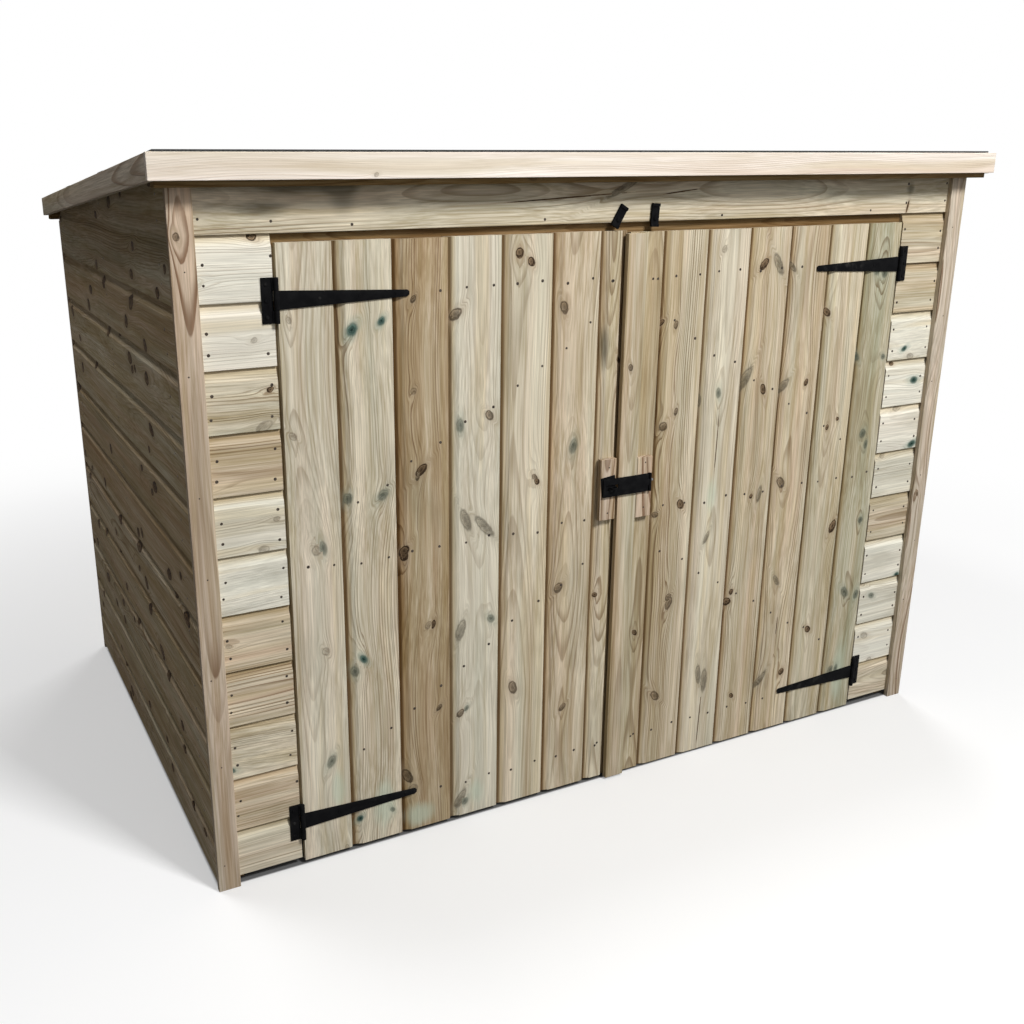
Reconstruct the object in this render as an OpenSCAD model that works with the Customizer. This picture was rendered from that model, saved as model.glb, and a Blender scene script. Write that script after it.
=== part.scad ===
// Pent-roofed timber bike shed with a pair of ledged and braced doors.
// Millimetres, +Z up, +Y to the back, origin on the ground below the middle of the roof.

/* [Walls] */
// Width over the side cladding
shed_w = 1829; // [1600:1:2100]
// Depth over the front and back cladding
shed_d = 1243; // [1000:1:1500]
// Thickness of the cladding boards
clad_t = 12; // [10:0.5:16]
// Height of the lowest cladding edge above the ground
clad_lift = 17; // [5:1:30]
// Depth of the framing battens, square to the wall
frame_t = 28; // [22:1:38]
// Face width of the framing battens
frame_w = 45; // [38:1:50]
// Width of the corner trims
trim_w = 43; // [30:1:60]
// Thickness of the corner trims
trim_t = 12; // [8:1:16]

/* [Floor] */
// Height of the floor bearers
bearer_h = 44; // [38:1:60]
// Thickness of the floor boards
floor_t = 12; // [10:1:18]
// Gap between the floor and the cladding around it
floor_gap = 6; // [5:1:10]
// Number of floor bearers
bearer_count = 7; // [3:1:9]
// Distance between the bearers
bearer_pitch = 290; // [200:1:290]

/* [Roof] */
// Fall of the roof towards the back, in degrees
roof_pitch = 4.5; // [3:0.5:8]
// Height of the top edge of the front fascia
eaves_h = 1366; // [1340:1:1400]
// Distance of the fascia's face in front of the cladding
roof_front = 55; // [54:1:80]
// Overhang of the roof at each side
roof_side = 33.5; // [25:0.5:60]
// Thickness of the roof boards
deck_t = 10; // [8:1:16]
// Thickness of the roofing felt
felt_t = 2.5; // [2:0.5:4]
// Height of the fascia and barge boards
fascia_h = 43; // [38:1:60]
// Thickness of the fascia and barge boards
fascia_t = 12; // [10:1:12]

/* [Doors] */
// Width of the door opening between the cladding edges
opening_w = 1482; // [1300:1:1500]
// Height of the lower edge of the board above the doors
head_h = 1236; // [1200:1:1245]
// Height of one door
door_h = 1212; // [1180:1:1212]
// Height of the left door above the ground
door_lift = 9; // [8:1:9]
// How much lower the right door hangs
door_drop = 4; // [0:1:4]
// Gap between each door and its hinge-side cladding
door_gap = 6; // [5:1:8]
// How far the doors stand in front of the cladding
door_proud = 2; // [2:0.5:4]
// Width of the door ledges
ledge_w = 70; // [60:1:90]
// Thickness of the door ledges and braces
ledge_t = 22; // [16:1:28]
// Width of the cover strip on the right door
strip_w = 47; // [40:1:50]
// Thickness of the cover strip and of the hasp blocks
strip_t = 12; // [8:1:14]

/* [Ironmongery] */
// Height of the upper hinges
hinge_top = 1125; // [1100:1:1150]
// Height of the lower hinges
hinge_low = 101; // [101:1:120]
// Length of a hinge strap from the pin to its tip
strap_len = 249; // [150:1:300]
// Width of a hinge strap beside its pin
strap_root = 33; // [28:1:40]
// Width of a hinge strap at its tip
strap_tip = 12; // [8:1:16]
// Height of the middle of the hasp
hasp_h = 701; // [650:1:750]
// Height of the turn button pivots
button_h = 1242; // [1242:1:1250]
// Lean of the left turn button at rest, in degrees
button_lean = 31; // [0:1:40]

/* [Hidden] */
$fn = 32;

pale = "#d8ccb4";
tan = "#c2ae86";
shaded = "#9c8a68";
pink = "#ecdcc8";
grey = "#b3a999";
felt_black = "#26272a";
iron = "#141416";

// Plan: y is measured back from the face of the front cladding, then centred under the roof.
half_w = shed_w / 2;
in_x = half_w - clad_t;
in_y = shed_d - clad_t;
batten_gap = 1;
batten_back = shed_d + batten_gap;
roof_back = batten_back + frame_t;
flap_t = 3;
y_mid = (roof_back + flap_t - roof_front) / 2;
floor_top = bearer_h + floor_t;
opening_x = opening_w / 2;
board_cover = 112;

// Roof: the fascia and barge tops lie on one plane, and the boards' top stands a little above it.
deck_rise = 2.5;
fascia_y = fascia_t - roof_front;
roof_x = half_w + roof_side;
deck_x = roof_x - fascia_t;
deck_front = fascia_y + felt_t;
felt_turn = 20;
rafter_pitch = 450;
wall_drop = 1;
trim_drop = 4;
joint = 0.5;
hairline = 0.1;
function edge_z(y) = eaves_h - tan(roof_pitch) * (y + roof_front);
function deck_z(y) = edge_z(y) + deck_rise;
function soffit_z(y) = deck_z(y) - deck_t;

// Framing: bottom rails stand on the floor, and the rafters bear on the front and back top rails.
post_cover = 29;
post_in = opening_x - post_cover;
rail_front_top = soffit_z(clad_t + frame_t) - frame_w - joint;
rail_back_top = soffit_z(in_y) - frame_w - joint;
lintel_cover = 24;
lintel_low = head_h - lintel_cover;

// Doors: each leaf turns on pins in the gap beside it, in front of its face.
door_x = opening_x - door_gap;
face_y = -door_proud;
back_y = clad_t - door_proud;
pin_x = opening_x - door_gap / 2;
pin_y = -7;
pin_r = 2.2;
bore_r = 2.26;
knuckle_r = 4.5;
plate_h = 78;
plate_w = 20;
plate_t = 2.5;
plate_off = 5;
knuckle_web = 2;
strap_nose = 4;
leaf_edge = 27;
tongue_end = 13.7;
tongue_back = 5;
right_edge = 8;
strip_left = 21;
strip_right = strip_w - strip_left;
strip_short = 2;
ledge_mid = (hinge_top + hinge_low) / 2 + 12;
ledge_heights = [hinge_low, ledge_mid, hinge_top];
ledge_clear = 12;
ledge_out = post_in - ledge_clear;
ledge_in = 35;
brace_w = 60;
brace_in = 20;

// Hasp: both blocks and the cover strip hold the metal level.
block_w = 38;
block_h = 132;
block_y = face_y - strip_t;
block_gap = 1;
left_block_low = hasp_h - 71;
right_block_low = hasp_h - 77;
leaf_t = 2;
leaf_inset = 1;
flap_h = 39;
flap_end = 61;
flap_pin_x = 58;
flap_pin_y = block_y - 4;
flap_knuckle_r = 3;
flap_pin_r = 1.5;
flap_bore_r = 1.56;
staple_x = -38;
staple_r = 2;
staple_w = 17;
staple_out = 18;
staple_plate = [35, 42];
staple_offset = [-8, 3];
staple_tilt = 7;
slot_left = 55;
slot_right = 24;
slot_h = 12;

// Turn buttons
button_w = 18;
button_t = 3.5;
button_long = 29;
button_short = 16;
button_x = [-42, 46];
button_y = -2;
button_tip = 6;
button_tip_t = 2;
right_lean = 3;
screw_r = 2.4;
screw_gap = 0.3;
screw_head_r = 4.2;
screw_head_t = 1.8;
screw_l = 5.9;

// Moves a piece from the front-cladding datum to the part's own frame
module set_back() translate([0, -y_mid, 0]) children();

// A box given by its low and high corners
module bar(low, high) translate(low) cube(high - low);

// A slab between two x values, with a side view drawn as [y, z] points
module side_slab(x0, x1, outline)
    translate([x0, 0, 0])
        rotate([90, 0, 90])
            linear_extrude(x1 - x0) polygon(outline);

// Side view between two y values, from a level bottom up to a line parallel to the roof
function under_roof(y0, y1, z0, drop) =
    [[y0, z0], [y1, z0], [y1, soffit_z(y1) - drop], [y0, soffit_z(y0) - drop]];

// Side view of a strip parallel to the roof, between two drops below the soffit
function along_roof(y0, y1, low, high) = [
    [y0, soffit_z(y0) - low], [y1, soffit_z(y1) - low],
    [y1, soffit_z(y1) - high], [y0, soffit_z(y0) - high]
];

module both_sides() {
    children();
    mirror([1, 0, 0]) children();
}

// ---- Floor ----

module floor_bearers() {
    color(shaded) set_back()
        for (i = [0 : bearer_count - 1]) {
            x = (i - (bearer_count - 1) / 2) * bearer_pitch;
            bar([x - frame_t / 2, clad_t + floor_gap, 0],
                [x + frame_t / 2, in_y - floor_gap, bearer_h]);
        }
}

module floor_deck() {
    color(tan) set_back()
        bar([-in_x + floor_gap, clad_t + floor_gap, bearer_h],
            [in_x - floor_gap, in_y - floor_gap, floor_top]);
}

// ---- Cladding ----

module front_panel() bar([-in_x, 0, clad_lift], [-opening_x, clad_t, head_h - joint]);

module wall_front_left() {
    color(pale) set_back() front_panel();
}

module wall_front_right() {
    color(pale) set_back() mirror([1, 0, 0]) front_panel();
}

module header_board() {
    color(tan) set_back() bar([-in_x, 0, head_h], [in_x, clad_t, head_h + board_cover]);
}

module side_wall() side_slab(-half_w, -in_x, under_roof(0, shed_d, clad_lift, wall_drop));

module wall_left() {
    color(shaded) set_back() side_wall();
}

module wall_right() {
    color(shaded) set_back() mirror([1, 0, 0]) side_wall();
}

module wall_back() {
    color(shaded) set_back()
        bar([-in_x, in_y, clad_lift], [in_x, shed_d, soffit_z(shed_d) - wall_drop]);
}

module trims_front() {
    color(pale) set_back() both_sides()
        bar([-half_w, -trim_t, 0], [trim_w - half_w, 0, soffit_z(0) - trim_drop]);
}

module trims_back() {
    color(tan) set_back() both_sides()
        bar([-half_w, shed_d, 0],
            [trim_w - half_w, shed_d + trim_t, soffit_z(roof_back) - frame_w - trim_drop]);
}

// ---- Wall framing ----

module front_studs() {
    color(tan) set_back() both_sides() {
        bar([-in_x, clad_t, floor_top], [frame_w - in_x, clad_t + frame_t, rail_front_top]);
        bar([-post_in - frame_w, clad_t, floor_top], [-post_in, clad_t + frame_t, lintel_low]);
    }
}

module front_rails() {
    color(tan) set_back() {
        bar([frame_w - in_x, clad_t, lintel_low],
            [in_x - frame_w, clad_t + frame_t, lintel_low + frame_w]);
        bar([frame_w - in_x, clad_t, rail_front_top - frame_w],
            [in_x - frame_w, clad_t + frame_t, rail_front_top]);
        both_sides()
            bar([frame_w - in_x, clad_t, floor_top],
                [-post_in - frame_w, clad_t + frame_t, floor_top + frame_w]);
    }
}

module side_studs() {
    y0 = clad_t + frame_t;
    y1 = in_y - frame_t;
    for (y = [y0, (y0 + y1 - frame_w) / 2, y1 - frame_w])
        side_slab(-in_x, frame_t - in_x,
            under_roof(y, y + frame_w, floor_top + frame_w, frame_w + joint + hairline));
}

module side_rails() {
    y0 = clad_t + frame_t;
    y1 = in_y - frame_t;
    bar([-in_x, y0, floor_top], [frame_t - in_x, y1, floor_top + frame_w]);
    side_slab(-in_x, frame_t - in_x, along_roof(y0, y1, frame_w + joint, joint));
}

module left_studs() {
    color(tan) set_back() side_studs();
}

module left_rails() {
    color(tan) set_back() side_rails();
}

module right_studs() {
    color(tan) set_back() mirror([1, 0, 0]) side_studs();
}

module right_rails() {
    color(tan) set_back() mirror([1, 0, 0]) side_rails();
}

module back_studs() {
    first = frame_w / 2 - in_x;
    color(tan) set_back() {
        both_sides()
            bar([-in_x, in_y - frame_t, floor_top], [frame_w - in_x, in_y, rail_back_top]);
        for (x = [first / 2, 0, -first / 2])
            bar([x - frame_w / 2, in_y - frame_t, floor_top + frame_w],
                [x + frame_w / 2, in_y, rail_back_top - frame_w]);
    }
}

module back_rails() {
    color(tan) set_back()
        for (z = [floor_top, rail_back_top - frame_w])
            bar([frame_w - in_x, in_y - frame_t, z], [in_x - frame_w, in_y, z + frame_w]);
}

// ---- Roof ----

module roof_rafters() {
    color(tan) set_back()
        for (x = [-rafter_pitch, 0, rafter_pitch])
            side_slab(x - frame_t / 2, x + frame_t / 2, along_roof(clad_t, in_y, frame_w, hairline));
}

module roof_battens() {
    color(shaded) set_back()
        for (y = [deck_front, batten_back]) {
            low = soffit_z(y == deck_front ? y : roof_back) - frame_w;
            side_slab(-deck_x, deck_x, under_roof(y, y + frame_t, low, hairline));
        }
}

module roof_deck() {
    color(tan) set_back()
        side_slab(-deck_x, deck_x, along_roof(deck_front, roof_back, 0, -deck_t));
}

// Felt over the boards, turned down in front of them and over the back batten
module roof_felt() {
    y0 = deck_front;
    y1 = roof_back;
    color(felt_black) set_back()
        side_slab(-deck_x, deck_x, [
            [y0, deck_z(y0)], [y1, deck_z(y1)], [y1, soffit_z(y1) - frame_w],
            [y1 + flap_t, soffit_z(y1) - frame_w], [y1 + flap_t, deck_z(y1) + felt_t],
            [y0 - felt_t, deck_z(y0) + felt_t], [y0 - felt_t, soffit_z(y0) - felt_turn],
            [y0, soffit_z(y0) - felt_turn]
        ]);
}

module fascia_front() {
    color(pink) set_back()
        bar([-roof_x, -roof_front, eaves_h - fascia_h], [roof_x, fascia_y, eaves_h]);
}

module barge() {
    y1 = roof_back + flap_t;
    side_slab(-roof_x, -deck_x, [
        [fascia_y, edge_z(fascia_y) - fascia_h], [y1, edge_z(y1) - fascia_h],
        [y1, edge_z(y1)], [fascia_y, edge_z(fascia_y)]
    ]);
}

module barge_left() {
    color(grey) set_back() barge();
}

module barge_right() {
    color(grey) set_back() mirror([1, 0, 0]) barge();
}

// ---- Hinges ----

// Plate with the outer knuckles and the pin, for the left side, centred on height z
module hinge_plate(z) {
    outer = (plate_h - strap_root) / 2 - joint;
    edge = -pin_x - plate_off;
    bar([edge - plate_w, -plate_t, z - plate_h / 2], [edge, 0, z + plate_h / 2]);
    for (low = [z - plate_h / 2, z + plate_h / 2 - outer]) {
        translate([-pin_x, pin_y, low]) cylinder(r = knuckle_r, h = outer);
        bar([edge - knuckle_web, pin_y + knuckle_web, low], [-pin_x, 0, low + outer]);
    }
    translate([-pin_x, pin_y, z - plate_h / 2]) cylinder(r = pin_r, h = plate_h);
}

// Tapered strap with its middle knuckle, running right (1) or left (-1) from a pin at x
module strap(x, z, way) {
    nose = strap_len - strap_nose;
    difference() {
        union() {
            translate([x, pin_y, z - strap_root / 2]) cylinder(r = knuckle_r, h = strap_root);
            translate([x, face_y, z])
                rotate([90, 0, 0])
                    linear_extrude(plate_t) polygon([
                        [way, -strap_root / 2], [way * nose, -strap_tip / 2],
                        [way * strap_len, -strap_tip / 4], [way * strap_len, strap_tip / 4],
                        [way * nose, strap_tip / 2], [way, strap_root / 2]
                    ]);
        }
        translate([x, pin_y, z - strap_root]) cylinder(r = bore_r, h = 2 * strap_root);
    }
}

module both_plates() {
    hinge_plate(hinge_top);
    hinge_plate(hinge_low);
}

module both_straps(x, way) {
    strap(x, hinge_top, way);
    strap(x, hinge_low, way);
}

module hinge_plates_left() {
    color(iron) set_back() both_plates();
}

module hinge_plates_right() {
    color(iron) set_back() mirror([1, 0, 0]) both_plates();
}

module left_door_straps() {
    color(iron) set_back() both_straps(-pin_x, 1);
}

module right_door_straps() {
    color(iron) set_back() both_straps(pin_x, -1);
}

// ---- Doors ----

// Boards of the left door, whose free edge is stepped back behind the cover strip
module left_door_boards() {
    color(pale) set_back() {
        bar([-door_x, face_y, door_lift], [-leaf_edge, back_y, door_lift + door_h]);
        bar([-leaf_edge, face_y + tongue_back, door_lift],
            [-tongue_end, back_y, door_lift + door_h]);
    }
}

module right_door_boards() {
    low = door_lift - door_drop;
    color(pale) set_back()
        bar([-right_edge, face_y, low], [door_x, back_y, low + door_h]);
}

module ledges(inner) {
    for (z = ledge_heights)
        bar([-ledge_out, back_y, z - ledge_w / 2], [-inner, back_y + ledge_t, z + ledge_w / 2]);
}

// Brace between two ledges, rising from the hinge side towards the free edge
module brace(low, high, inner) {
    x0 = -ledge_out + brace_in;
    x1 = -inner - brace_in - brace_w;
    translate([0, back_y + ledge_t, 0])
        rotate([90, 0, 0])
            linear_extrude(ledge_t)
                polygon([[x0, low], [x0 + brace_w, low], [x1 + brace_w, high], [x1, high]]);
}

module braces(inner) {
    for (i = [0, 1])
        brace(ledge_heights[i] + ledge_w / 2, ledge_heights[i + 1] - ledge_w / 2, inner);
}

module left_door_ledges() {
    color(tan) set_back() ledges(ledge_in);
}

module left_door_braces() {
    color(tan) set_back() braces(ledge_in);
}

module right_door_ledges() {
    color(tan) set_back() mirror([1, 0, 0]) ledges(0);
}

module right_door_braces() {
    color(tan) set_back() mirror([1, 0, 0]) braces(0);
}

module cover_strip() {
    low = door_lift - door_drop;
    color(pale) set_back()
        bar([-strip_left, block_y, low], [strip_right, face_y, low + door_h - strip_short]);
}

// ---- Hasp ----

module left_hasp_block() {
    z = left_block_low;
    color(pink) set_back()
        bar([-leaf_edge - block_w, block_y, z], [-leaf_edge, face_y, z + block_h]);
}

module right_hasp_block() {
    x = strip_right + block_gap;
    z = right_block_low;
    color(pink) set_back() bar([x, block_y, z], [x + block_w, face_y, z + block_h]);
}

// Staple: a plate on the left block with a bow for the padlock
module hasp_staple() {
    leg = (staple_w - 2 * staple_r) / 2;
    color(iron) set_back() {
        translate([staple_x + staple_offset[0], block_y, hasp_h + staple_offset[1]])
            rotate([90, -staple_tilt, 0])
                linear_extrude(leaf_t) square(staple_plate, center = true);
        translate([staple_x, block_y - staple_out + leg + staple_r, hasp_h])
            rotate([0, 0, 180])
                rotate_extrude(angle = 180) translate([leg, 0]) circle(r = staple_r);
        for (x = [staple_x - leg, staple_x + leg])
            translate([x, block_y, hasp_h])
                rotate([90, 0, 0])
                    cylinder(r = staple_r, h = staple_out - leg - staple_r);
    }
}

// Fixed leaf on the right block, with the end knuckles and the pin
module hasp_leaf() {
    low = hasp_h - flap_h / 2;
    third = flap_h / 3 - joint;
    edge = flap_pin_x - flap_knuckle_r - leaf_inset;
    color(iron) set_back() {
        bar([strip_right + block_gap + leaf_inset, block_y - leaf_t, low + leaf_inset],
            [edge, block_y, low + flap_h - leaf_inset]);
        for (z = [low, low + flap_h - third]) {
            translate([flap_pin_x, flap_pin_y, z]) cylinder(r = flap_knuckle_r, h = third);
            bar([edge, flap_pin_y + leaf_t, z], [flap_pin_x + leaf_inset, block_y, z + third]);
        }
        translate([flap_pin_x, flap_pin_y, low]) cylinder(r = flap_pin_r, h = flap_h);
    }
}

// Flap: turns on the pin at its right end and slots over the staple
module hasp_flap() {
    low = hasp_h - flap_h / 2;
    third = flap_h / 3 + joint;
    edge = flap_pin_x - flap_knuckle_r - 2 * leaf_inset;
    y0 = flap_pin_y - flap_pin_r;
    color(iron) set_back()
        difference() {
            union() {
                translate([flap_pin_x, flap_pin_y, hasp_h - third / 2])
                    cylinder(r = flap_knuckle_r, h = third);
                bar([-flap_end, y0, low], [edge, y0 + leaf_t, low + flap_h]);
                bar([edge, y0, hasp_h - third / 2],
                    [flap_pin_x, y0 + leaf_t, hasp_h + third / 2]);
            }
            bar([-slot_left, y0 - 1, hasp_h - slot_h / 2],
                [-slot_right, y0 + leaf_t + 1, hasp_h + slot_h / 2]);
            translate([flap_pin_x, flap_pin_y, low]) cylinder(r = flap_bore_r, h = flap_h);
        }
}

// ---- Turn buttons ----

// A bar with raised ends, turning on a screw nearer its lower end
module turn_button(x, lean) {
    translate([x, button_y, button_h])
        rotate([90, lean, 0])
            difference() {
                union() {
                    translate([-button_w / 2, -button_short, 0])
                        cube([button_w, button_short + button_long, button_t]);
                    for (end = [-button_short, button_long - button_tip])
                        translate([-button_w / 2, end, 0])
                            cube([button_w, button_tip, button_t + button_tip_t]);
                }
                translate([0, 0, -1]) cylinder(r = screw_r + screw_gap, h = button_t + 2);
            }
}

module button_screws() {
    color(iron) set_back()
        for (x = button_x)
            translate([x, 0, button_h])
                rotate([90, 0, 0]) {
                    cylinder(r = screw_r, h = screw_l);
                    translate([0, 0, screw_l]) cylinder(r = screw_head_r, h = screw_head_t);
                }
}

module left_turn_button() {
    color(iron) set_back() turn_button(button_x[0], button_lean);
}

module right_turn_button() {
    color(iron) set_back() turn_button(button_x[1], right_lean);
}

floor_bearers();
floor_deck();
wall_front_left();
wall_front_right();
header_board();
wall_left();
wall_right();
wall_back();
trims_front();
trims_back();
front_studs();
front_rails();
left_studs();
left_rails();
right_studs();
right_rails();
back_studs();
back_rails();
roof_rafters();
roof_battens();
roof_deck();
roof_felt();
fascia_front();
barge_left();
barge_right();
hinge_plates_left();
hinge_plates_right();
button_screws();
left_door_boards();
left_door_ledges();
left_door_braces();
left_door_straps();
left_hasp_block();
hasp_staple();
right_door_boards();
right_door_ledges();
right_door_braces();
right_door_straps();
cover_strip();
right_hasp_block();
hasp_leaf();
hasp_flap();
left_turn_button();
right_turn_button();
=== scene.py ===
"""Finish of a timber bike shed: shiplap boards, planed trims, a felt roof and black ironmongery."""

import math
import random

import bmesh
import bpy
import numpy as np
from mathutils import Matrix, Vector


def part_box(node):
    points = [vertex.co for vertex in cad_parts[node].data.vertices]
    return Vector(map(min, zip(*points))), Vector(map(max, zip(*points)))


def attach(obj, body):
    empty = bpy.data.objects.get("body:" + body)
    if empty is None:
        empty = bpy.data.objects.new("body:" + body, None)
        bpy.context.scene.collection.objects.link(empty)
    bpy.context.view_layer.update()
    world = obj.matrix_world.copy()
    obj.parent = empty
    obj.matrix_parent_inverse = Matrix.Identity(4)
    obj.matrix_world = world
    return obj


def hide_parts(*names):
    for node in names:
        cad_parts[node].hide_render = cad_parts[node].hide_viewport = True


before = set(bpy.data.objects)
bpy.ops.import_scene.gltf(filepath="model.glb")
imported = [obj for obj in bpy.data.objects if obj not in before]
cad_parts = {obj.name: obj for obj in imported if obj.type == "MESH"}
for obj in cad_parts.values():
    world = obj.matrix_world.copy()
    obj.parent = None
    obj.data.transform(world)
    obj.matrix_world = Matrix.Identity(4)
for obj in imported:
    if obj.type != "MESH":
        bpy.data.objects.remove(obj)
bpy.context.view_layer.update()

MM = 0.001
X, Y, Z = 0, 1, 2
RIGHT, BACK, UP = Vector((1, 0, 0)), Vector((0, 1, 0)), Vector((0, 0, 1))

# Boards, in millimetres: a shiplap board shows its cover, and its scooped tongue goes under the next one.
COVER = 112
SCOOP = 22
TONGUE_T = 6
LAP = 8
ROOF_FALL = math.tan(math.radians(4.5))
HEAD_Z = 1236

# Tones of the boards: lighter or darker, and from pink (-1) to green (1). The shade and dark tones are
# painted shade, for timbers that stand in shadow.
TONES = {
    "mint": (0.75, 0.75),
    "white": (1.1, 0.35),
    "pale": (0.4, 0.25),
    "straw": (0.05, 0.1),
    "grey": (-0.15, 0.55),
    "green": (-0.3, 1.0),
    "pink": (0.15, -0.5),
    "warm": (-0.05, -0.2),
    "tan": (-0.45, -0.3),
    "brown": (-0.85, -0.9),
    "blush": (0.9, -0.5),
    "cream": (0.35, -0.1),
    "shade": (-0.6, -0.6),
    "dark": (-2.1, -0.9),
}

# Kinds of knot: how green, how dark, and by how many rings the grain swells round it.
KNOT_KINDS = {
    "teal": (1.0, 1.0, 3.6),
    "green": (0.75, 0.7, 3.2),
    "brown": (0.0, 0.9, 2.6),
    "dead": (0.0, 1.0, 2.0),
    "ring": (0.1, 0.72, 2.2),
    "faint": (0.15, 0.38, 2.0),
    "spike": (0.35, 0.6, 1.6),
    "crack": (0.0, 1.0, 0.0),
}
MIXED = ("brown", "brown", "ring", "green", "faint", "faint")
# Soft marks with no edge of their own: dark mould, and pale green treatment
SOFT_MARKS = ("smudge", "wash")

# Pine grows its knots in rows, a row a year, so each upright board has rows of them:
# tone, kinds of knot, height of the lowest row, rise from row to row, most knots in a row.
LEFT_DOOR_BOARDS = (
    ("cream", ("teal", "green", "faint"), 20, 215, 2),
    ("cream", ("teal", "green"), 80, 330, 2),
    ("brown", ("brown", "ring", "faint"), 120, 165, 2),
    ("pale", ("green", "ring", "spike"), 40, 210, 2),
    ("cream", ("ring", "brown"), 280, 450, 2),
    ("pink", ("brown", "ring", "green"), 190, 300, 1),
    ("warm", ("brown",), 450, 510, 1),
)
RIGHT_DOOR_BOARDS = (
    ("tan", ("brown",), 365, 340, 1),
    ("warm", ("brown", "ring"), 185, 215, 2),
    ("cream", ("spike", "faint", "green"), 195, 330, 2),
    ("warm", ("brown", "brown", "spike"), 130, 250, 2),
    ("pink", ("brown", "ring", "spike"), 140, 245, 2),
    ("straw", ("brown",), 265, 255, 2),
    ("green", ("green",), 120, 200, 2),
)
PANEL_KNOTS = ("teal", "green", "brown", "faint", "faint")
# Soft marks and shakes: x, z, half width, half height, lean to the right, kind.
LEFT_DOOR_MARKS = (
    (-480, 40, 40, 35, 0, "wash"), (-350, 60, 25, 45, 0, "wash"), (-60, 1000, 15, 50, 0, "smudge"),
    (-560, 90, 30, 70, 0, "wash"), (-660, 150, 20, 60, 0, "wash"),
)
RIGHT_DOOR_MARKS = (
    (245, 760, 1.2, 70, 1, "crack"), (250, 90, 1.4, 75, 2, "crack"), (470, 280, 1.4, 25, 2, "crack"),
    (690, 120, 25, 110, 0, "wash"), (240, 640, 20, 60, 0, "wash"),
)
HEADER_MARKS = (
    (-610, 1318, 34, 60, 0, "smudge"), (-700, 1312, 90, 16, 0, "smudge"), (-850, 1320, 60, 18, 0, "smudge"),
    (-760, 1276, 60, 16, 0, "smudge"), (752, 1290, 14, 18, 0, "smudge"), (-30, 1300, 44, 7, -24, "spike"),
    (-150, 1285, 150, 1.3, -3, "crack"), (110, 1292, 46, 1.3, -6, "crack"), (748, 1250, 3, 15, 12, "crack"),
)
LEFT_PANEL_TONES = (
    "pale", "pink", "pale", "pink", "pink", "mint", "mint", "pink", "pale", "blush", "white",
)
RIGHT_PANEL_TONES = (
    "cream", "white", "mint", "mint", "cream", "mint", "blush", "white", "mint", "warm", "warm",
)


# ---- Materials ----

class Finish:
    """A material and short calls for its nodes."""

    def __init__(self, name):
        self.material = bpy.data.materials.new(name)
        self.material.use_nodes = True
        self.tree = self.material.node_tree
        self.shader = self.tree.nodes["Principled BSDF"]

    def node(self, kind, **settings):
        made = self.tree.nodes.new("ShaderNode" + kind)
        for key, value in settings.items():
            setattr(made, key, value)
        return made

    def put(self, socket, value):
        if isinstance(value, bpy.types.NodeSocket):
            self.tree.links.new(value, socket)
        else:
            socket.default_value = value

    def math(self, operation, *values, clamp=False):
        made = self.node("Math", operation=operation, use_clamp=clamp)
        for socket, value in zip(made.inputs, values):
            self.put(socket, value)
        return made.outputs[0]

    def vector(self, *values):
        made = self.node("CombineXYZ")
        for socket, value in zip(made.inputs, values):
            self.put(socket, value)
        return made.outputs[0]

    def split(self, vector):
        made = self.node("SeparateXYZ")
        self.put(made.inputs[0], vector)
        return made.outputs

    def step(self, value, low, high, bottom=0.0, top=1.0):
        """Eases from bottom to top as the value goes from low to high."""
        made = self.node("MapRange", interpolation_type="SMOOTHSTEP")
        for socket, given in zip(made.inputs, (value, low, high, bottom, top)):
            self.put(socket, given)
        return made.outputs[0]

    def mix(self, share, first, second, blend="MIX"):
        made = self.node("Mix", data_type="RGBA", blend_type=blend)
        for socket, given in zip((made.inputs[0], made.inputs[6], made.inputs[7]), (share, first, second)):
            self.put(socket, given)
        return made.outputs[2]

    def noise(self, vector, scale, detail=2.0, offset=None, roughness=0.5):
        made = self.node("TexNoise", noise_dimensions="3D" if offset is None else "4D")
        self.put(made.inputs["Vector"], vector)
        self.put(made.inputs["Scale"], scale)
        self.put(made.inputs["Detail"], detail)
        self.put(made.inputs["Roughness"], roughness)
        if offset is not None:
            self.put(made.inputs["W"], offset)
        return made.outputs

    def stretch(self, vector, scale):
        made = self.node("VectorMath", operation="MULTIPLY")
        self.put(made.inputs[0], vector)
        self.put(made.inputs[1], scale)
        return made.outputs[0]

    def bump(self, height, distance, strength=1.0):
        made = self.node("Bump")
        self.put(made.inputs["Height"], height)
        made.inputs["Distance"].default_value = distance
        made.inputs["Strength"].default_value = strength
        self.put(self.shader.inputs["Normal"], made.outputs[0])


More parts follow.
